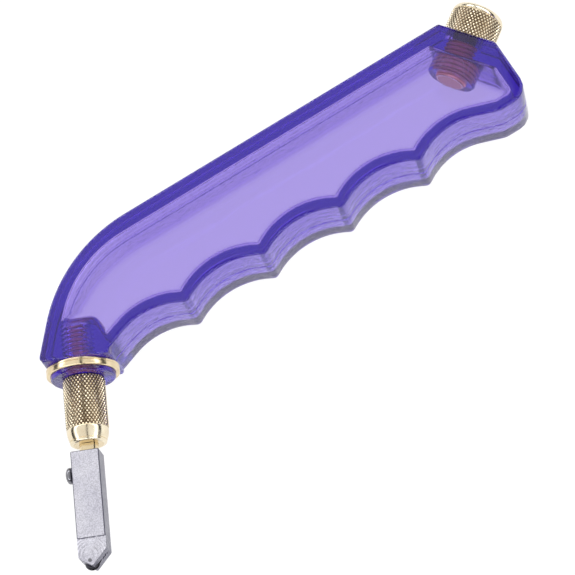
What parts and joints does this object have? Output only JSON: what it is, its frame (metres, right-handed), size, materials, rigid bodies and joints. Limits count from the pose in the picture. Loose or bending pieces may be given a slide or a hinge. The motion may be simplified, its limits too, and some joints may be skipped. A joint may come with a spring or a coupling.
{
  "type": "glass cutter",
  "caption": "Oil-fed glass cutter: hollow clear violet pistol grip with finger scallops, brass filler cap, knurled barrel, and a sprung steel head with a carbide wheel.",
  "frame": {"origin": "middle of the grip's flat rear face, on which the tool lies", "axes": "+X along the grip from the nose to the tail, +Y from the finger scallops to the straight back, +Z through the grip's thickness"},
  "size_m": [0.1694, 0.0832, 0.0195],
  "materials": {
    "violet_plastic": "polished clear violet acrylic",
    "brass": "turned and polished",
    "knurled_brass": "diamond knurl, pale, with polished ends",
    "satin_steel": "satin nickel with cutter marks at the point",
    "steel": "plain",
    "spring_steel": "drawn wire",
    "dark_steel": "dark polished",
    "carbide": "ground",
    "black_rubber": "smooth",
    "felt": "felt cord"
  },
  "bodies": {
    "handle": {"front_shell": "violet_plastic", "back_shell": "violet_plastic", "nose_ferrule": "brass"},
    "barrel_seal": {"barrel_seal": "black_rubber"},
    "barrel": {"barrel": "knurled_brass", "end_bush": "brass", "oil_wick": "felt"},
    "spring_washer": {"spring_washer": "steel", "spindle_spring": "spring_steel"},
    "spindle": {"spindle": "brass", "spindle_seal": "black_rubber", "cutter_head": "satin_steel", "wheel_axle": "dark_steel"},
    "wheel": {"wheel": "carbide"},
    "clamp_screw": {"clamp_screw": "dark_steel"},
    "filler_seal": {"filler_seal": "black_rubber"},
    "filler_cap": {"filler_cap": "knurled_brass"}
  },
  "joints": [
    {"name": "barrel_travel", "type": "slide", "parent": "handle", "child": "barrel_seal", "axis": [-0.4099, -0.9121, 0], "range_m": [0, 0.01]},
    {"name": "barrel_turn", "type": "hinge", "parent": "barrel_seal", "child": "barrel", "pos_m": [-0.06305, -0.01235, 0.00975], "axis": [-0.4099, -0.9121, 0], "range_deg": [0, 2880]},
    {"name": "spindle_press", "type": "slide", "parent": "barrel", "child": "spring_washer", "axis": [0.4099, 0.9121, 0], "range_m": [0, 0.0012], "stiffness_N_per_m": 2500, "springref_m": -0.002, "deforming": ["spindle_spring"]},
    {"name": "head_swivel", "type": "hinge", "parent": "spring_washer", "child": "spindle", "pos_m": [-0.06305, -0.01235, 0.00975], "axis": [-0.4099, -0.9121, 0], "range_deg": [-12, 12]},
    {"name": "wheel_spin", "type": "hinge", "parent": "spindle", "child": "wheel", "pos_m": [-0.08614, -0.06008, 0.00975], "axis": [0, 0, 1], "continuous": true},
    {"name": "clamp_screw_turn", "type": "hinge", "parent": "spindle", "child": "clamp_screw", "pos_m": [-0.07494, -0.0388, 0.00975], "axis": [-0.9121, 0.4099, 0], "range_deg": [0, 720]},
    {"name": "cap_travel", "type": "slide", "parent": "handle", "child": "filler_seal", "axis": [0.7986, 0.6018, 0], "range_m": [0, 0.01]},
    {"name": "cap_turn", "type": "hinge", "parent": "filler_seal", "child": "filler_cap", "pos_m": [0.06901, 0.01001, 0.00975], "axis": [0.7986, 0.6018, 0], "range_deg": [0, 2880]}
  ],
  "couplings": [
    {"joint": "barrel_turn", "follows": "barrel_travel", "rad_per_m": 5026.5},
    {"joint": "cap_turn", "follows": "cap_travel", "rad_per_m": 5026.5}
  ]
}
